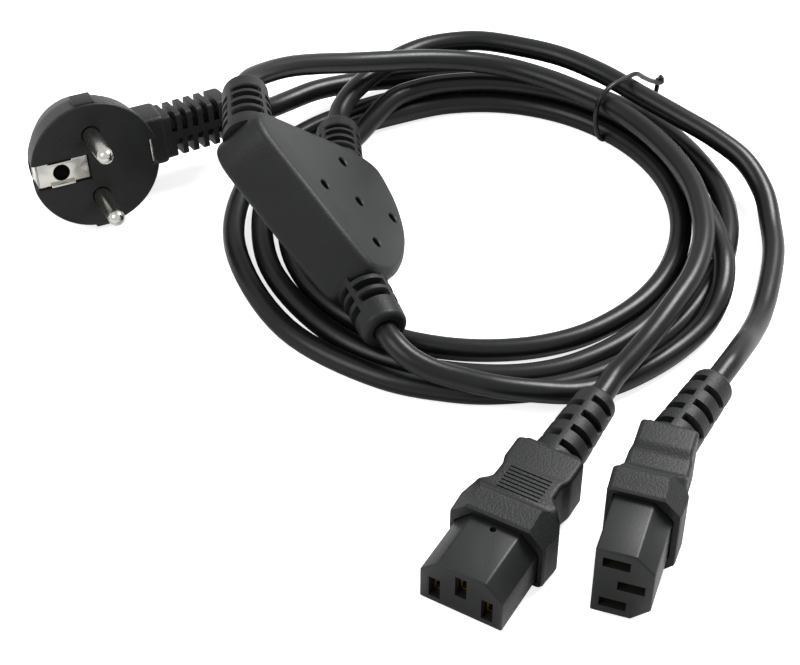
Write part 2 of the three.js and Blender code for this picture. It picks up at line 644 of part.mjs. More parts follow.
// Coil of the main cord, as one ring, with a groove underneath for the tie
function coil() {
  const r0 = COIL_INNER_R;
  const r1 = COIL_OUTER_R;
  const h = COIL_HEIGHT;
  const profile = [[r0, 1], [r0 + 1, 0], [r1 - 1, 0], [r1, 1], [r1, h - 1], [r1 - 1, h], [r0 + 1, h],
    [r0, h - 1], [r0, 1]];
  const ring = moved(turned(profile, COIL_SIDES), new THREE.Matrix4().makeRotationX(Math.PI / 2));
  const groove = block(r0 - 2, r1 + 2, -TIE_WIRE_D / 2 - FIT, TIE_WIRE_D / 2 + FIT, -1,
    TIE_WIRE_D + 2 * FIT);
  return cut(ring, [moved(groove, new THREE.Matrix4().makeRotationZ(radians(TIE_TURN)))]);
}
const coilMesh = named('main_cord_coil', coil(), JACKET);
coilMesh.position.set(COIL_X, COIL_Y, 0);
part.add(coilMesh);

// Free stretches of the cords, as points chosen by hand along their middle lines
const route = (rows) => rows.map(([x, y, z]) => vec(x, y, z));
const mainFeed = route([
  [-49.4, 37.6, 17.5], [-36.2, 44.8, 17.1], [-26.5, 50, 16.8],
  [-20, 54.3, 14.7], [-14.5, 59.5, 11.6], [-9.6, 64.8, 10.05],
]);
const mainTail = route([
  [12.4, -22.2, 16.6], [18.2, -36, 15.4], [21.2, -43.1, 14.7], [23.4, -47.2, 14.2],
  [27.6, -51.3, 12.6], [33.5, -54.2, 11], [40, -56, 10],
]);
const leadA = route([
  [-15.2, -2.8, 44], [-16.9, 12.1, 43.5], [-18.2, 24, 43.1], [-17.8, 31, 41.8],
  [-13.4, 39.8, 38.5], [-7, 47.8, 35], [0.5, 54.8, 31], [9, 61, 27], [19, 67, 23.4],
  [31, 72.8, 20], [43.5, 75.6, 17.6], [56, 74.8, 16.2], [68, 70.3, 15.4], [79, 63.6, 15],
  [89, 55.4, 14.9], [100.4, 39.8, 14.9], [108.2, 21, 14.9], [110, 5.4, 14.9], [109, -6.8, 14.9],
  [104.8, -20.4, 14.8], [98, -32.6, 14.4], [91, -43, 12.9], [85.6, -49.7, 11.3],
  [81, -55, 10], [78.3, -59.5, 9.5], [75.8, -63.8, 9.4], [67.8, -77.7, 9.4], [60.3, -90.7, 9.4],
]);
const leadB = route([
  [7.9, 17.4, 16.5], [7.2, 32.3, 15.1], [6.6, 44.3, 13.9], [6.5, 50.4, 13.8], [7.6, 56.4, 14.3],
  [10.4, 62.8, 14.8], [14.4, 69.2, 14.9], [19.3, 75.6, 14.8], [25.5, 82.4, 14.6], [33, 87.6, 14.5],
  [41.5, 90.4, 14.4], [50.5, 91, 14.4], [62.7, 87.8, 14.4], [75, 82.6, 14.4], [86.8, 73.8, 14.4],
  [98, 62.4, 14.3], [109, 52, 13.6], [118.8, 43.2, 12.4], [126.6, 34.8, 10.2], [131.2, 25, 6.4],
  [132, 13.6, 3.8], [131.4, 2.9, 3.3], [128, -12, 3.3], [123.8, -25, 3.9], [119.4, -35.6, 6.8],
  [115, -45.4, 10.8], [111, -53.15, 13], [108.3, -57.4, 13.2], [105.6, -61.6, 13.2],
  [97, -75, 13.2], [88.9, -87.7, 13.2],
]);
part.add(named('main_cord_feed', tube(mainFeed, CORD_D, CORD_SIDES, 10), JACKET));
part.add(named('main_cord_tail', tube(mainTail, CORD_D, CORD_SIDES, 10), JACKET));
part.add(named('lead_a', tube(leadA, CORD_D, CORD_SIDES, 44), JACKET));
part.add(named('lead_b', tube(leadB, CORD_D, CORD_SIDES, 44), JACKET));

// The wire tie: under the coil, up over both leads, and its two ends side by side outside
const tieRoute = [
  [84, 9.6], [80.6, 7.8], [79.4, 3.8], [78, 1.5], [66, 1.25], [55.2, 1.4], [52.4, 3.6], [50.3, 8.6],
  [49.6, 14.4], [51.3, 18.9], [56, 20.6], [63, 19.8], [68.4, 18.8], [73, 15], [77.5, 11.4],
  [80.8, 10.8], [84.3, 12.2],
].map(([radius, z]) => vec(radius, 0, z));
const tie = named('cable_tie', tube(tieRoute, TIE_WIRE_D, CORE_SIDES, 32), JACKET);
tie.position.set(COIL_X, COIL_Y, 0);
tie.rotation.z = radians(TIE_TURN);
part.add(tie);

export default part;
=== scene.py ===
# %% [markdown]
# # A power cord splitter
# One mains plug feeds two appliance connectors. Its long cord is coiled and tied, and a moulded
# Y box lies on the coil where the cord divides into two leads. Almost everything is one material,
# black PVC, so the picture lives from the shapes, from the fine grain of the mouldings and from
# soft light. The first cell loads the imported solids, which fix every size and place.

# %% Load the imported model
import json
import math

import bmesh
import bpy
from mathutils import Matrix, Vector


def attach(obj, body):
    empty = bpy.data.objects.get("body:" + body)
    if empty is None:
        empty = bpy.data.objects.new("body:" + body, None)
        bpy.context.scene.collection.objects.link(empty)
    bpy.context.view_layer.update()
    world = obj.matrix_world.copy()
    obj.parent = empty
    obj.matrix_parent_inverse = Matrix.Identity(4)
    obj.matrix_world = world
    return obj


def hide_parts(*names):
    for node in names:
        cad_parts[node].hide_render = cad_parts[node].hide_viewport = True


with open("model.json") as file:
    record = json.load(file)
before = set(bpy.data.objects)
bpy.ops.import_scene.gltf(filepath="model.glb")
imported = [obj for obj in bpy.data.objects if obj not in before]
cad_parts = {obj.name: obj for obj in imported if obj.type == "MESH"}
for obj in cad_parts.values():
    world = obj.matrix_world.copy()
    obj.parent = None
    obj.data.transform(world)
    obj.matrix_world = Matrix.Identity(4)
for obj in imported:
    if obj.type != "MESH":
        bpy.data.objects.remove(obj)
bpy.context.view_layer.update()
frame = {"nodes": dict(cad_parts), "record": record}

# %% [markdown]
# The photograph was taken from in front and above, with a long lens. The camera stands where the
# sizes of the connector's nose and of the coil agree with the picture.

# %% Camera
camera_data = bpy.data.cameras.new("camera")
camera_data.sensor_width = 36
camera_data.lens = 86.4
camera = bpy.data.objects.new("camera", camera_data)
camera.location = (0.025, -0.413, 0.359)
camera.rotation_euler = (math.radians(47), 0, 0)
bpy.context.collection.objects.link(camera)
bpy.context.scene.camera = camera
bpy.context.scene.view_settings.view_transform = "Standard"
print("camera at", tuple(camera.location))

# %% [markdown]
# The sizes below are in millimetres, as on a drawing, and one factor turns them into metres.
# A cord is a smooth curve through points chosen along its middle line. A centripetal
# Catmull-Rom curve runs through every point and doesn't overshoot on uneven spacing, so the
# cords follow the same line as the solids that they dress.

# %% Smooth routes
MM = 0.001
CORD_D = 6.3


def smooth_route(points, steps=8):
    points = [Vector(p) for p in points]
    ends = [2 * points[0] - points[1], *points, 2 * points[-1] - points[-2]]
    route = []
    for a, b, c, d in zip(ends, ends[1:], ends[2:], ends[3:]):
        t1 = (b - a).length ** 0.5
        t2 = t1 + (c - b).length ** 0.5
        t3 = t2 + (d - c).length ** 0.5
        for step in range(steps):
            t = t1 + (t2 - t1) * step / steps
            ab = a.lerp(b, t / t1)
            bc = b.lerp(c, (t - t1) / (t2 - t1))
            cd = c.lerp(d, (t - t2) / (t3 - t2))
            near = ab.lerp(bc, t / t2)
            far = bc.lerp(cd, (t - t1) / (t3 - t1))
            route.append(near.lerp(far, (t - t1) / (t2 - t1)))
    route.append(points[-1])
    return route


def cord_curve(name, points, diameter):
    route = smooth_route(points)
    curve = bpy.data.curves.new(name, "CURVE")
    curve.dimensions = "3D"
    curve.bevel_depth = diameter / 2 * MM
    curve.bevel_resolution = 7
    curve.use_fill_caps = True
    spline = curve.splines.new("POLY")
    spline.points.add(len(route) - 1)
    for point, place in zip(spline.points, route):
        point.co = (*(place * MM), 1)
    spline.use_smooth = True
    piece = bpy.data.objects.new(name, curve)
    bpy.context.collection.objects.link(piece)
    length = sum((b - a).length for a, b in zip(route, route[1:]))
    print(name, "is", round(length), "mm long")
    return piece


# %% [markdown]
# The main cord leaves the box, drops over the coil's front edge and goes round three and two
# third times before it rises to the plug. Each row of the coil gives an angle seen from above,
# the distance from the coil's middle and the height of the cord's middle line. Three turns lie
# side by side on the floor. Where there are four, the fourth lies in the valley between two
# others and crosses to the outside on the right.

# %% Main cord
COIL_MIDDLE = Vector((50, 17, 0))
COIL_ROWS = [
    (-98, 73.6, 10.0), (-90, 75.2, 9.0), (-82, 76.0, 7.4), (-74, 76.2, 5.0), (-66, 75.4, 3.5),
    (-56, 74.6, 3.2), (-46, 74.2, 3.3), (-38, 74.2, 4.6), (-30, 73.0, 7.6), (-22, 70.2, 9.3),
    (-14, 66.8, 8.9), (-6, 63.5, 9.3), (2, 61.2, 8.8), (10, 60.3, 8.5), (25, 60.2, 8.4),
    (45, 60.2, 8.4), (65, 60.2, 8.4), (85, 60.2, 8.4), (100, 60.1, 8.4), (109, 59.2, 8.8),
    (118, 57.2, 9.3), (127, 55.0, 6.9), (136, 54.0, 4.0), (146, 54.1, 3.2), (160, 55.4, 3.2),
    (180, 57.2, 3.2), (200, 57.8, 3.2), (220, 57.8, 3.2), (240, 57.2, 3.2), (255, 56.2, 3.2),
    (270, 55.5, 3.2), (285, 55.4, 3.2), (300, 55.3, 3.2), (320, 55.2, 3.2), (340, 55.6, 3.2),
    (360, 56.4, 3.2), (380, 56.9, 3.2), (400, 56.9, 3.2), (420, 56.9, 3.2), (440, 56.9, 3.2),
    (460, 56.9, 3.2), (478, 57.0, 3.2), (488, 58.4, 3.2), (498, 60.4, 3.2), (508, 62.4, 3.2),
    (520, 64.0, 3.2), (535, 65.0, 3.2), (560, 65.2, 3.2), (590, 65.3, 3.2), (610, 65.4, 3.2),
    (630, 65.4, 3.2), (645, 65.2, 3.2), (660, 63.6, 3.2), (675, 62.0, 3.2), (690, 61.5, 3.2),
    (705, 62.2, 3.2), (720, 63.2, 3.2), (740, 63.6, 3.2), (760, 63.6, 3.2), (780, 63.6, 3.2),
    (800, 63.6, 3.2), (820, 63.6, 3.2), (838, 63.8, 3.2), (850, 65.4, 3.2), (862, 68.0, 3.2),
    (875, 70.6, 3.2), (890, 72.4, 3.2), (910, 73.1, 3.2), (940, 73.1, 3.2), (965, 72.4, 3.2),
    (980, 71.9, 3.2), (990, 71.7, 3.2), (1005, 71.3, 3.2), (1020, 69.9, 3.2), (1035, 68.4, 3.2),
    (1050, 67.9, 3.2), (1065, 69.0, 3.2), (1080, 70.0, 3.2), (1095, 70.3, 3.2),
    (1120, 70.3, 3.2), (1150, 70.3, 3.2), (1170, 70.6, 3.2), (1182, 71.4, 3.4),
    (1193, 72.6, 4.8), (1204, 74.0, 7.0), (1213, 75.3, 8.9), (1221, 76.4, 10.05),
]
MAIN_TAIL = [
    (12.4, -22.2, 16.6), (18.2, -36, 15.4), (21.2, -43.1, 14.7), (23.4, -47.2, 14.2),
    (27.6, -51.3, 12.6), (33.5, -54.2, 11),
]
MAIN_FEED = [
    (-14.5, 59.5, 11.6), (-20, 54.3, 14.7), (-26.5, 50, 16.8), (-36.2, 44.8, 17.1),
    (-49.4, 37.6, 17.5),
]


def round_the_coil(angle, radius, height):
    turn = math.radians(angle)
    return COIL_MIDDLE + Vector((radius * math.cos(turn), radius * math.sin(turn), height))


main_points = [*MAIN_TAIL, *[round_the_coil(*row) for row in COIL_ROWS], *MAIN_FEED]
main_cord = cord_curve("main_cord", main_points, CORD_D)

# %% [markdown]
# The two leads leave the far side of the box. The upper one falls onto the coil and crosses it
# to the nearer connector. The lower one swings wide of the coil and lies on the floor on the
# right before it rises into its connector, which lies on its side.

# %% Leads
LEAD_A = [
    (-15.2, -2.8, 44), (-16.9, 12.1, 43.5), (-18.2, 24, 43.1), (-17.8, 31, 41.8),
    (-13.4, 39.8, 38.5), (-7, 47.8, 35), (0.5, 54.8, 31), (9, 61, 27), (19, 67, 23.4),
    (31, 72.8, 20), (43.5, 75.6, 17.6), (56, 74.8, 16.2), (68, 70.3, 15.4), (79, 63.6, 15),
    (89, 55.4, 14.9), (100.4, 39.8, 14.9), (108.2, 21, 14.9), (110, 5.4, 14.9),
    (109, -6.8, 14.9), (104.8, -20.4, 14.8), (98, -32.6, 14.4), (91, -43, 12.9),
    (85.6, -49.7, 11.3), (81, -55, 10), (78.3, -59.5, 9.5), (75.8, -63.8, 9.4),
    (67.8, -77.7, 9.4), (60.3, -90.7, 9.4),
]
LEAD_B = [
    (7.9, 17.4, 16.5), (7.2, 32.3, 15.1), (6.6, 44.3, 13.9), (6.5, 50.4, 13.8),
    (7.6, 56.4, 14.3), (10.4, 62.8, 14.8), (14.4, 69.2, 14.9), (19.3, 75.6, 14.8),
    (25.5, 82.4, 14.6), (33, 87.6, 14.5), (41.5, 90.4, 14.4), (50.5, 91, 14.4),
    (62.7, 87.8, 14.4), (75, 82.6, 14.4), (86.8, 73.8, 14.4), (98, 62.4, 14.3),
    (109, 52, 13.6), (118.8, 43.2, 12.4), (126.6, 34.8, 10.2), (131.2, 25, 6.4),
    (132, 13.6, 3.8), (131.4, 2.9, 3.3), (128, -12, 3.3), (123.8, -25, 3.9),
    (119.4, -35.6, 6.8), (115, -45.4, 10.8), (111, -53.15, 13), (108.3, -57.4, 13.2),
    (105.6, -61.6, 13.2), (97, -75, 13.2), (88.9, -87.7, 13.2),
]
lead_a = cord_curve("lead_a_cord", LEAD_A, CORD_D)
lead_b = cord_curve("lead_b_cord", LEAD_B, CORD_D)

# %% [markdown]
# All finishes are made from nodes. Colours are written as sRGB hex values, the way that a
# picture editor shows them, and one function turns them into the linear values that a shader
# needs. One other function adds a node, sets it up and links it.

# %% Colour and node helpers


def linear(hex_code):
    values = [int(hex_code[i:i + 2], 16) / 255 for i in (1, 3, 5)]
    curve = [v / 12.92 if v <= 0.04045 else ((v + 0.055) / 1.055) ** 2.4 for v in values]
    return (*curve, 1)


def add_node(tree, kind, inputs=None, **settings):
    node = tree.nodes.new(kind)
    for name, value in settings.items():
        setattr(node, name, value)
    for socket, value in (inputs or {}).items():
        if isinstance(value, bpy.types.NodeSocket):
            tree.links.new(value, node.inputs[socket])
        else:
            node.inputs[socket].default_value = value
    return node


def new_material(name):
    material = bpy.data.materials.new(name)
    material.use_nodes = True
    material.node_tree.nodes.clear()
    return material, material.node_tree


def finish_material(tree, shader):
    add_node(tree, "ShaderNodeOutputMaterial", {"Surface": shader.outputs["BSDF"]})


# %% [markdown]
# Flexible PVC is extruded or moulded. An extruded jacket is smooth with a slight waviness, so
# it shows long soft highlights. The mouldings come from a spark-eroded steel mould and carry
# its grain, a fine pebbling of about half a millimetre. Both are dielectrics with an index of
# refraction of about 1.53, and carbon black makes them nearly black. Their shine is set below
# the usual level, because fine wear dulls the mirror part. The grain is a bump, and the same
# noise moves the roughness a little. A slower noise moves the colour.

# %% PVC finishes


def colour_sockets(sockets):
    # A Mix node has one socket of each name for numbers, for vectors and for colours.
    return {socket.name: socket for socket in sockets if socket.type == "RGBA"}


def pvc(name, dark, light, roughness, grain_mm, grain_depth_mm, shine=0.24, wave_mm=9.0):
    material, tree = new_material(name)
    place = add_node(tree, "ShaderNodeTexCoord").outputs["Object"]
    grain = add_node(tree, "ShaderNodeTexNoise", {
        "Vector": place, "Scale": 1 / (grain_mm * MM), "Detail": 3.0, "Roughness": 0.6,
    })
    wave = add_node(tree, "ShaderNodeTexNoise", {
        "Vector": place, "Scale": 1 / (wave_mm * MM), "Detail": 2.0,
    })
    tint = add_node(tree, "ShaderNodeMix", {"Factor": wave.outputs["Fac"]}, data_type="RGBA")
    ends = colour_sockets(tint.inputs)
    ends["A"].default_value = linear(dark)
    ends["B"].default_value = linear(light)
    gloss = add_node(tree, "ShaderNodeMapRange", {
        "Value": grain.outputs["Fac"], "To Min": roughness - 0.06, "To Max": roughness + 0.08,
    })
    bump = add_node(tree, "ShaderNodeBump", {
        "Height": grain.outputs["Fac"], "Distance": grain_depth_mm * MM, "Strength": 1.0,
    })
    shader = add_node(tree, "ShaderNodeBsdfPrincipled", {
        "Base Color": colour_sockets(tint.outputs)["Result"],
        "Roughness": gloss.outputs["Result"], "Normal": bump.outputs["Normal"], "IOR": 1.53,
        "Specular IOR Level": shine,
    })
    finish_material(tree, shader)
    return material


jacket_pvc = pvc("extruded black PVC", "#0b0c0c", "#101111", 0.32, 1.4, 0.015, 0.24)
moulded_pvc = pvc("grained black PVC", "#111212", "#191a1a", 0.46, 0.6, 0.12)
# The box's top face gets a lighter copy of the black PVC. Its lighter colour is painted light from
# above, and its grain is a little finer.
painted_top_light_pvc = pvc("black PVC with painted top light", "#1c1d1d", "#252626", 0.42, 0.45, 0.04)
insert_plastic = pvc("moulded dark nylon", "#161717", "#1f2020", 0.4, 0.6, 0.02)
bridge_plastic = pvc("moulded ivory nylon", "#cfccc2", "#dedbd2", 0.5, 0.5, 0.02)
brown_pvc = pvc("brown core insulation", "#5e3620", "#724428", 0.45, 0.8, 0.015)
blue_pvc = pvc("blue core insulation", "#25559a", "#2f66b4", 0.45, 0.8, 0.015)
green_pvc = pvc("green core insulation", "#4f8a32", "#639f42", 0.45, 0.8, 0.015)
print("plastics:", len(bpy.data.materials))

# %% [markdown]
# The pins and the earth strip are brass with a bright nickel plating. Nickel is warmer and
# darker than chrome. Drawing and stamping leave fine lines along the metal, and plating softens
# them, so the roughness changes slightly across thin stretched noise. The contacts and splices
# inside are plain brass.

# %% Metal finishes


def plated(name, tint, roughness, line_mm):
    material, tree = new_material(name)
    place = add_node(tree, "ShaderNodeTexCoord").outputs["Object"]
    stretched = add_node(tree, "ShaderNodeMapping", {"Vector": place, "Scale": (1, 0.08, 1)})
    lines = add_node(tree, "ShaderNodeTexNoise", {
        "Vector": stretched.outputs["Vector"], "Scale": 1 / (line_mm * MM), "Detail": 2.0,
    })
    gloss = add_node(tree, "ShaderNodeMapRange", {
        "Value": lines.outputs["Fac"], "To Min": roughness - 0.05, "To Max": roughness + 0.07,
    })
    bump = add_node(tree, "ShaderNodeBump", {
        "Height": lines.outputs["Fac"], "Distance": 0.004 * MM, "Strength": 1.0,
    })
    shader = add_node(tree, "ShaderNodeBsdfPrincipled", {
        "Base Color": linear(tint), "Metallic": 1.0, "Roughness": gloss.outputs["Result"],
        "Normal": bump.outputs["Normal"],
    })
    finish_material(tree, shader)
    return material


nickel = plated("nickel-plated brass", "#c3c1bb", 0.2, 0.5)
brass = plated("plain brass", "#c2a15a", 0.32, 0.5)
print("metals: nickel and brass")

# %% [markdown]
# Each piece is drawn in its own frame, in millimetres, as its mould would be, and then moved to
# its place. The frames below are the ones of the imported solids. Rings of points that are joined
# side by side give most of the forms, because a moulding changes its section smoothly along its
# length. Edges that catch the light get a small bevel, since no real edge is perfectly sharp.

# %% Frames and mesh helpers


def turned(axis, degrees):
    return Matrix.Rotation(math.radians(degrees), 4, axis)


def shifted(x, y, z):
    return Matrix.Translation((x, y, z))


BOX_FRAME = (shifted(-11.6, -4.7, 52.8) @ turned("Z", -40.3) @ turned("Y", 35.4)
             @ turned("X", -33))
BOX_THICKNESS = 17
PORT_A = BOX_FRAME @ shifted(-1, 8.5, -BOX_THICKNESS / 2) @ turned("Z", 35)
PORT_B = BOX_FRAME @ shifted(19, 45, -BOX_THICKNESS / 2) @ turned("Z", 30)
PORT_C = BOX_FRAME @ shifted(49, 5.5, -BOX_THICKNESS / 2) @ turned("Z", -129) @ turned("X", 7.5)
PLUG_FRAME = shifted(-61.6, 20, 20.4) @ turned("Z", 22.5) @ turned("X", -14)
PLUG_PORT = shifted(23, 12.5, 0) @ turned("Z", -84)
CONNECTOR_1 = shifted(39.1, -127.4, 9.4) @ turned("Z", -30)
CONNECTOR_2 = shifted(76.5, -128.4, 13.2) @ turned("Z", -18.6) @ turned("Y", 90)


def mesh_object(name, points, faces):
    mesh = bpy.data.meshes.new(name)
    mesh.from_pydata([tuple(p) for p in points], [], faces)
    obj = bpy.data.objects.new(name, mesh)
    bpy.context.collection.objects.link(obj)
    work = bmesh.new()
    work.from_mesh(mesh)
    bmesh.ops.recalc_face_normals(work, faces=work.faces)
    work.to_mesh(mesh)
    work.free()
    return obj


def lofted(name, rings):
    count = len(rings[0])
    points = [p for ring in rings for p in ring]
    faces = [tuple(range(count)), tuple(len(points) - count + i for i in reversed(range(count)))]
    for row in range(len(rings) - 1):
        for i in range(count):
            j = (i + 1) % count
            low, high = row * count, (row + 1) * count
            faces.append((low + i, high + i, high + j, low + j))
    return mesh_object(name, points, faces)


def revolved(name, profile, sides=96):
    steps = [2 * math.pi * i / sides for i in range(sides)]
    rings = [[Vector((r * math.cos(a), y, r * math.sin(a))) for a in steps] for r, y in profile]
    return lofted(name, rings)


def slab(name, low, high, edge=0.0, segments=3):
    (x0, y0, z0), (x1, y1, z1) = low, high
    corners = [(x0, y0), (x1, y0), (x1, y1), (x0, y1)]
    obj = lofted(name, [[Vector((x, y, z)) for x, y in corners] for z in (z0, z1)])
    if edge:
        soften(obj, edge, segments)
    return obj


def baked(obj):
    graph = bpy.context.evaluated_depsgraph_get()
    mesh = bpy.data.meshes.new_from_object(obj.evaluated_get(graph))
    obj.modifiers.clear()
    obj.data = mesh
    return obj


def soften(obj, width, segments=3, angle=30):
    bevel = obj.modifiers.new("edge", "BEVEL")
    bevel.width = width
    bevel.segments = segments
    bevel.limit_method = "ANGLE"
    bevel.angle_limit = math.radians(angle)
    bevel.harden_normals = False
    return baked(obj)


def combined(obj, others, operation):
    for other in others:
        step = obj.modifiers.new("cut", "BOOLEAN")
        step.operation = operation
        step.solver = "EXACT"
        step.object = other
        baked(obj)
        bpy.data.objects.remove(other)
    return obj


def joined(obj, others):
    work = bmesh.new()
    work.from_mesh(obj.data)
    for other in others:
        work.from_mesh(other.data)
        bpy.data.objects.remove(other)
    work.to_mesh(obj.data)
    work.free()
    return obj


def placed(obj, matrix):
    obj.data.transform(Matrix.Scale(MM, 4) @ matrix)
    return obj


def dressed(obj, material, nodes=(), smooth_angle=32):
    obj.data.materials.clear()
    obj.data.materials.append(material)
    if obj.type == "MESH":
        obj.data.shade_smooth()
        obj.data.set_sharp_from_angle(angle=math.radians(smooth_angle))
    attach(obj, "root")
    if nodes:
        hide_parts(*nodes)
    print(obj.name, "dresses", ", ".join(nodes) or "no solid")
    return obj


# %% [markdown]
# A strain relief lets the cord bend without kinking. Short slots leave ribs that can close up,
# and four straight spines hold the ribs together. Slots in neighbouring quarters are staggered
# by half a pitch. The relief is one sheet of points: along the length and round the axis, the
# radius drops to the core wherever a slot is, with a short ramp at its edge.

# %% Round strain reliefs
SPINE_WIDTH = 1.9


def ramp(distance, width=0.28):
    return max(0.0, min(1.0, distance / width + 0.5))


def relief_radius(angle, y, shape):
    share = max(0.0, y) / shape["length"]
    outer = shape["root"] + (shape["end"] - shape["root"]) * share
    left = shape["length"] - y
    if left < shape["round"]:
        drop = shape["round"] - left
        outer -= shape["round"] - math.sqrt(max(0.0, shape["round"] ** 2 - drop ** 2))
    quarter = math.floor(angle / (math.pi / 2))
    into = angle - quarter * math.pi / 2
    side = min(into, math.pi / 2 - into) * outer
    depth = 0.0
    for i in range(shape["slots"]):
        start = shape["first"] + shape["pitch"] * (i + 0.5 * (quarter % 2))
        if start + shape["width"] > shape["length"] - shape["collar"]:
            continue
        along = min(y - start, start + shape["width"] - y)
        depth = max(depth, ramp(along) * ramp(side - SPINE_WIDTH / 2))
    return outer - depth * (outer - shape["core"])


def round_relief(name, shape, bore=CORD_D / 2 + 0.15):
    sides, step = 96, 0.3
    rows = int((shape["length"] + 2) / step)
    heights = [-2 + step * i for i in range(rows)] + [shape["length"] - 0.02, shape["length"]]
    angles = [2 * math.pi * (i + 0.5) / sides for i in range(sides)]
    rings = []
    for y in heights:
        radii = [relief_radius(a, min(y, shape["length"] - 0.01), shape) for a in angles]
        rings.append([Vector((r * math.cos(a), y, r * math.sin(a))) for a, r in zip(angles, radii)])
    for radius, y in ((bore + 0.35, 0), (bore, -0.3), (bore, -3)):
        ring_y = shape["length"] + y
        rings.append([Vector((radius * math.cos(a), ring_y, radius * math.sin(a))) for a in angles])
    return lofted(name, rings)


BOX_RELIEF = {
    "root": 7.2, "end": 6.4, "core": 4.0, "round": 1.4, "first": 1.0, "pitch": 3.8,
    "width": 1.9, "slots": 5, "collar": 4.2,
}
CONNECTOR_RELIEF = {
    "length": 26, "root": 6.7, "end": 5.5, "core": 3.7, "round": 1.4, "first": 1.6, "pitch": 6.2,
    "width": 1.9, "slots": 4, "collar": 3.4,
}

# %% [markdown]
# The Y box is one moulding. Seen from above it is a long straight side, where one lead and the
# main cord leave, and a bulged side that runs round to the second lead. The corners of its
# outline are cut again and again, which turns a polygon into a smooth curve, and the outline
# shrinks towards the top and the bottom face along a quarter circle.

# %% Splitter box
BOX_OUTLINE = [
    (-4.6, 5), (-3.2, 1.8), (1.5, -0.9), (8, -1.2), (45.5, -1.2), (49.5, 2), (53, 11), (51, 23),
    (46, 35), (37, 45), (26, 50.5), (20.5, 48), (13, 38.5), (5, 24), (-4.6, 8.6),
]
BOX_EDGE = 2.4


def rounded_outline(corners, rounds=3):
    points = [Vector((x, y, 0)) for x, y in corners]
    for _ in range(rounds):
        cut = []
        for a, b in zip(points, points[1:] + points[:1]):
            cut += [a.lerp(b, 0.22), a.lerp(b, 0.78)]
        points = cut
    return points


def shrunk(points, distance):
    moved_in = []
    for before, here, after in zip(points[-1:] + points[:-1], points, points[1:] + points[:1]):
        along = (after - before).normalized()
        moved_in.append(here + Vector((-along.y, along.x, 0)) * distance)
    return moved_in


outline = rounded_outline(BOX_OUTLINE)
levels = []
for i in range(7):
    angle = math.pi / 2 * i / 6
    levels.append((BOX_EDGE * (1 - math.sin(angle)), BOX_EDGE * (1 - math.cos(angle))))
box_rings = [[p + Vector((0, 0, depth - BOX_THICKNESS)) for p in shrunk(outline, inward)]
             for inward, depth in levels]
box_rings += [[p + Vector((0, 0, -depth)) for p in shrunk(outline, inward)]
              for inward, depth in reversed(levels)]
box = lofted("splitter_box", box_rings)
MARK_MIDDLE = Vector((30.5, 21.8, 0))
MARK_TURN = 9
MARK_REACH = 10.5
marks = []
for i, j in ((0, 0), (1, 1), (1, -1), (-1, 1), (-1, -1)):
    spot = MARK_MIDDLE + turned("Z", MARK_TURN) @ Vector((MARK_REACH * i, MARK_REACH * j, 0))
    mark = revolved("mark", [(1.55, -1.6), (1.55, -0.25), (1.95, 0.02), (1.95, 1)], 32)
    mark.data.transform(Matrix.Translation(spot) @ turned("X", 90))
    marks.append(mark)
combined(box, marks, "DIFFERENCE")
placed(box, BOX_FRAME)
for name, port, length in (("a", PORT_A, 22), ("b", PORT_B, 22), ("c", PORT_C, 17.8)):
    relief = round_relief(f"relief_{name}", {**BOX_RELIEF, "length": length})
    joined(box, [placed(relief, port)])
dressed(box, moulded_pvc, ["splitter_body"])
# The upward-facing faces take the lighter copy, which paints the light that falls on the top from
# above.
box.data.materials.append(painted_top_light_pvc)
top_normal = (BOX_FRAME.to_3x3() @ Vector((0, 0, 1))).normalized()
for face in box.data.polygons:
    if face.normal.dot(top_normal) > 0.9 and face.area > 2e-6:
        face.material_index = 1
print("box faces:", len(box.data.polygons))

# %% [markdown]
# The appliance connector has a stiff nose with three slots and a softer overmould. The nose has
# two cut corners, so that it goes in only one way round. The overmould is a collar that stands
# proud of the nose, a waist for the fingers with fine grip lines, and a plain block that the
# strain relief grows out of. Its width and height are read off two curves along its length.

# %% Appliance connectors
NOSE_LENGTH = 17.4
BODY_REAR = 47.4


def along_curve(table, y):
    for (y0, v0), (y1, v1) in zip(table, table[1:]):
        if y <= y1:
            share = (y - y0) / (y1 - y0)
            smooth = share * share * (3 - 2 * share)
            return v0 + (v1 - v0) * smooth
    return table[-1][1]


HALF_WIDTHS = [(17.4, 12.5), (18.2, 12.8), (24.6, 13.2), (25.6, 12.6), (31.5, 8.3), (35.4, 8.2),
               (39.4, 9.2), (45.4, 9.2), (47.4, 7.6)]
HALF_HEIGHTS = [(17.4, 8.9), (18.2, 9.2), (24.6, 9.4), (26.6, 8.2), (35.4, 7.9), (38.4, 7.3),
                (45.6, 7.3), (47.4, 6.4)]


def body_section(y):
    w = along_curve(HALF_WIDTHS, y)
    h = along_curve(HALF_HEIGHTS, y)
    cut = max(1.3, w + h - 17.6)
    low = 1.3
    corners = [(w, -h, low, -90), (w, h, cut, 0), (-w, h, cut, 90), (-w, -h, low, 180)]
    ring = []
    for cx, cz, size, start in corners:
        middle = (cx - math.copysign(size, cx), cz - math.copysign(size, cz))
        for i in range(7):
            angle = math.radians(start + 90 * i / 6)
            flat = min(1.0, max(0.0, (size - 1.3) / 2))
            x, z = math.cos(angle), math.sin(angle)
            straight = 1 / (abs(x) + abs(z))
            reach = size * (1 + (straight - 1) * flat)
            ring.append(Vector((middle[0] + reach * x, y, middle[1] + reach * z)))
    return ring


NOSE_W, NOSE_H = 11, 7.2
NOSE_OUTLINE = [(-NOSE_W, -NOSE_H), (NOSE_W, -NOSE_H), (NOSE_W, 2.6), (6.4, NOSE_H),
                (-6.4, NOSE_H), (-NOSE_W, 2.6)]
SLOTS = [(-7, -2), (0, 2), (7, -2)]


def nose_prism(name, grow, y0, y1):
    wider, higher = 1 + grow / NOSE_W, 1 + grow / NOSE_H
    outline = [Vector((x * wider, 0, z * higher)) for x, z in NOSE_OUTLINE]
    return lofted(name, [[p + Vector((0, y, 0)) for p in outline] for y in (y0, y1)])


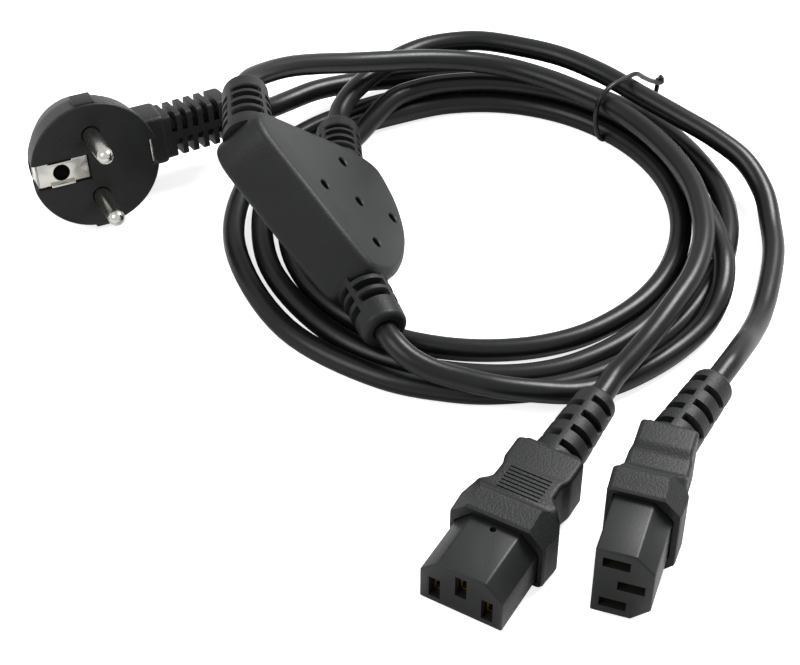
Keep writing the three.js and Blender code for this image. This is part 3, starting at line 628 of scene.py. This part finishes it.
def connector(name, place, bend):
    stations = [NOSE_LENGTH + 0.4 * i for i in range(int((BODY_REAR - NOSE_LENGTH) / 0.4) + 1)]
    body = lofted(f"{name}_overmould", [body_section(y) for y in stations])
    cutters = [nose_prism("pocket", 0.35, 10, NOSE_LENGTH + 1.6)]
    for side in (1, -1):
        for i in range(7):
            y = 27.6 + 1.25 * i
            z = side * (along_curve(HALF_HEIGHTS, y) - 0.35)
            low, high = sorted((z, z + side * 2))
            cutters.append(slab("grip", (-5.6, y, low), (5.6, y + 0.45, high)))
    combined(body, cutters, "DIFFERENCE")
    relief = round_relief("relief", CONNECTOR_RELIEF)
    relief.data.transform(shifted(0, BODY_REAR, 0) @ turned("X", bend))
    placed(joined(body, [relief]), place)
    dressed(body, moulded_pvc, [f"{name}_body"])
    nose = nose_prism(f"{name}_insulator", 0, 0, NOSE_LENGTH + 1.5)
    soften(nose, 0.45)
    cutters = [slab("slot", (x - 1.5, -1, z - 3.3), (x + 1.5, 12, z + 3.3)) for x, z in SLOTS]
    hole = revolved("hole", [(0.8, -1.2), (0.8, 1)], 24)
    hole.data.transform(shifted(0, 15.6, NOSE_H) @ turned("X", 90))
    combined(nose, [*cutters, hole], "DIFFERENCE")
    placed(nose, place)
    dressed(nose, insert_plastic, [f"{name}_nose"])
    return [body, nose]


connector_1 = connector("connector_1", CONNECTOR_1, 0)
connector_2 = connector("connector_2", CONNECTOR_2, 14)

# %% [markdown]
# The mains plug is a round body that leaves the cord sideways. Its face carries two round pins
# and, on one side, the earth contact: a bent strip with a hole for the socket's earth pin and
# with a spring clip in a notch on each side. The body is turned from a profile, then the face
# is recessed for the strip. Rectangular lugs on the rim guide the plug into its socket.

# %% Plug body
FACE_R = 18.7
PIN_SIDE = 9.5
PIN_R, PIN_LENGTH = 2.4, 19
EARTH_X = -10
RECESS_HALF = 3.9
STRIP_HALF = 3.6
PLUG_PROFILE = [
    (18.0, 0), (18.4, 0.12), (18.7, 0.6), (18.6, 2), (18.1, 7), (17.8, 9.4), (17.4, 10.6),
    (16.8, 12.4), (16.1, 15), (15.0, 18), (14.2, 20.4), (13.4, 22.2), (12.2, 23.4), (10.6, 24),
]
plug = revolved("plug_moulding", PLUG_PROFILE)
plug_cuts = [
    slab("recess", (-20, -1, -RECESS_HALF), (-1.7, 2.0, RECESS_HALF)),
    slab("left_notch", (-20, -1, -RECESS_HALF), (2.6 - FACE_R, 10, RECESS_HALF)),
    slab("right_notch", (FACE_R - 2.6, -1, -RECESS_HALF), (20, 10, RECESS_HALF)),
]
earth_hole = revolved("earth_hole", [(3.25, 1), (3.25, 12)], 48)
earth_hole.data.transform(shifted(EARTH_X, 0, 0))
plug_cuts.append(earth_hole)
for side in (1, -1):
    pin_hole = revolved("pin_hole", [(2.65, -1), (2.65, 6)], 48)
    pin_hole.data.transform(shifted(0, 0, PIN_SIDE * side))
    plug_cuts.append(pin_hole)
combined(plug, plug_cuts, "DIFFERENCE")
soften(plug, 0.25, 2, 40)
lugs = []
for side in (1, -1):
    low, high = sorted((side * 15.4, side * 19.3))
    lugs.append(slab("lug", (-3, 0.5, low), (3, 8, high), 0.5))
neck = slab("neck", (0, 6, -7.5), (23, 19, 7.5), 1.6, 4)
joined(plug, [*lugs, neck])


def plug_relief():
    bar = slab("plug_relief", (-5.7, -5, -6.7), (5.7, 21, 6.7), 1.3, 4)
    slots = []
    for i in range(5):
        for side in (1, -1):
            y = 1.3 + 3.35 * i + (0 if side > 0 else 0.9)
            low, high = sorted((side * 1.1, side * 9))
            slots.append(slab("slot", (-9, y, low), (9, y + 1.75, high)))
    core = slab("core", (-3.9, -4, -4.0), (3.9, 20, 4.0), 1)
    combined(bar, slots, "DIFFERENCE")
    return joined(bar, [core])


relief = plug_relief()
relief.data.transform(PLUG_PORT)
placed(joined(plug, [relief]), PLUG_FRAME)
dressed(plug, moulded_pvc, ["plug_body"])

# %% [markdown]
# The pins are solid and turned, with a domed tip that finds the socket's hole. The strip is
# stamped from thin sheet and bent, so its edges are softly rounded and two small lips stand up
# beside the hole.

# %% Plug pins and earth strip


def plug_pin(name, side, node):
    dome = [(0.3, 0), (1.0, 0.12), (1.6, 0.5), (2.05, 1.1), (2.32, 1.9), (PIN_R, 2.8)]
    profile = [(r, y - PIN_LENGTH) for r, y in dome] + [(PIN_R, 5.5)]
    pin = revolved(name, profile, 64)
    pin.data.transform(shifted(0, 0, PIN_SIDE * side))
    return dressed(placed(pin, PLUG_FRAME), nickel, [node])


pin_line = plug_pin("plug_line_pin", 1, "plug_pin_line")
pin_neutral = plug_pin("plug_neutral_pin", -1, "plug_pin_neutral")
strip = slab("plug_earth_clip", (-17.2, 0.9, -STRIP_HALF), (-2, 1.7, STRIP_HALF), 0.25)
hole = revolved("hole", [(2.45, -1), (2.45, 3)], 48)
hole.data.transform(shifted(EARTH_X, 0, 0))
combined(strip, [hole], "DIFFERENCE")
bent = [
    slab("left_leg", (-17.2, 0.9, -STRIP_HALF), (-16.4, 9.7, STRIP_HALF), 0.25),
    slab("right_leg", (16.4, 0.9, -STRIP_HALF), (17.2, 8.4, STRIP_HALF), 0.25),
    slab("drop", (-2.8, 0.9, -STRIP_HALF), (-2, 8.4, STRIP_HALF), 0.2),
    slab("cross", (-2.8, 7.6, -STRIP_HALF), (17.2, 8.4, STRIP_HALF), 0.2),
]
for side in (1, -1):
    low, high = sorted((side * 2.9, side * STRIP_HALF))
    bent.append(slab("lip", (-13.6, -0.5, low), (-6.6, 1.4, high), 0.25))
placed(joined(strip, bent), PLUG_FRAME)
dressed(strip, nickel, ["plug_earth_strip"])

# %% [markdown]
# The tie is a plastic-covered wire. It goes once round the bundle and both leads, and its two
# ends are twisted together outside. The twist is two helices of the same wire.

# %% Cable tie
TIE_RING = [
    (80.6, 7.8), (79.4, 3.8), (78, 1.5), (66, 1.25), (55.2, 1.4), (52.4, 3.6), (50.3, 8.6),
    (49.6, 14.4), (51.3, 18.9), (56, 20.6), (63, 19.8), (68.4, 18.8), (73, 15), (77.5, 11.4),
]
TIE_PLACE = shifted(50, 17, 0) @ turned("Z", 47)
TIE_D = 1.5
TWIST_STEPS = (1, 2, 3)


def twisted_end(step, start):
    turn = math.radians(80 * step + start)
    side, lift = TIE_D / 2 * math.sin(turn), TIE_D / 2 * math.cos(turn)
    return 81 + 0.6 * step, side, 9.2 + 0.1 * step + lift


tie_points = [twisted_end(step, 0) for step in reversed(TWIST_STEPS)]
tie_points += [(radius, 0, z) for radius, z in TIE_RING]
tie_points += [twisted_end(step, 180) for step in TWIST_STEPS]
tie = cord_curve("cable_tie_wire", [TIE_PLACE @ Vector(p) for p in tie_points], TIE_D)
dressed(tie, jacket_pvc, ["cable_tie"])

# %% [markdown]
# The cords get their finish, and the imported solids that they replace are hidden. The imported
# solids that stay in view, such as the contacts deep in the slots and the cores inside, keep their
# shape and get the finish of their real material.

# %% Cord finish and inner pieces
dressed(main_cord, jacket_pvc, ["main_cord_feed", "main_cord_coil", "main_cord_tail"])
dressed(lead_a, jacket_pvc, ["lead_a"])
dressed(lead_b, jacket_pvc, ["lead_b"])
finishes = {"brass": brass, "nickel": nickel, "bridge": bridge_plastic, "insert": insert_plastic,
            "moulding": moulded_pvc, "jacket": jacket_pvc, "tie": jacket_pvc,
            "core_brown": brown_pvc, "core_blue": blue_pvc, "core_green": green_pvc}
for entry in frame["record"]["subparts"]:
    solid = frame["nodes"][entry["node"]]
    solid.data.materials.clear()
    solid.data.materials.append(finishes[entry["material_slot"]])


# %% [markdown]
# The picture is a product cut-out on white. The floor and the world are white only to the
# camera and to reflections, so that the metal sees the white surroundings, and the object itself
# is lit by soft lamps: one above on the right, behind, and a weaker one on the left in front.

# %% Floor, world and lamps
floor_mesh = mesh_object("floor", [(-3, -3, 0), (3, -3, 0), (3, 3, 0), (-3, 3, 0)], [(0, 1, 2, 3)])
floor_material, tree = new_material("white paper floor")
ray = add_node(tree, "ShaderNodeLightPath")
paper = add_node(tree, "ShaderNodeBsdfDiffuse", {"Color": linear("#f4f4f4")})
glow = add_node(tree, "ShaderNodeEmission", {"Color": (1, 1, 1, 1), "Strength": 0.78})
both = add_node(tree, "ShaderNodeAddShader")
tree.links.new(paper.outputs["BSDF"], both.inputs[0])
tree.links.new(glow.outputs["Emission"], both.inputs[1])
shown = add_node(tree, "ShaderNodeMixShader", {"Fac": ray.outputs["Is Camera Ray"]})
tree.links.new(paper.outputs["BSDF"], shown.inputs[1])
tree.links.new(both.outputs["Shader"], shown.inputs[2])
add_node(tree, "ShaderNodeOutputMaterial", {"Surface": shown.outputs["Shader"]})
floor_mesh.data.materials.append(floor_material)

world = bpy.data.worlds.new("white surroundings")
bpy.context.scene.world = world
world.use_nodes = True
tree = world.node_tree
tree.nodes.clear()
ray = add_node(tree, "ShaderNodeLightPath")
seen = add_node(tree, "ShaderNodeMath", {0: ray.outputs["Is Camera Ray"],
                                         1: ray.outputs["Is Glossy Ray"]}, operation="MAXIMUM")
strength = add_node(tree, "ShaderNodeMapRange", {"Value": seen.outputs["Value"],
                                                 "To Min": 0.3, "To Max": 0.9})
sky = add_node(tree, "ShaderNodeBackground", {"Color": (1, 1, 1, 1),
                                              "Strength": strength.outputs["Result"]})
add_node(tree, "ShaderNodeOutputWorld", {"Surface": sky.outputs["Background"]})


def lamp(name, place, aim, size, power):
    data = bpy.data.lights.new(name, "AREA")
    data.shape = "DISK"
    data.size = size
    data.energy = power
    light = bpy.data.objects.new(name, data)
    light.location = place
    light.rotation_euler = (Vector(aim) - Vector(place)).to_track_quat("-Z", "Y").to_euler()
    bpy.context.collection.objects.link(light)


lamp("key lamp", (0.42, 0.3, 0.62), (0.04, -0.02, 0.02), 0.36, 9)
lamp("fill lamp", (-0.5, -0.3, 0.6), (0.0, -0.02, 0.02), 0.5, 3)
print("lamps:", len(bpy.data.lights))
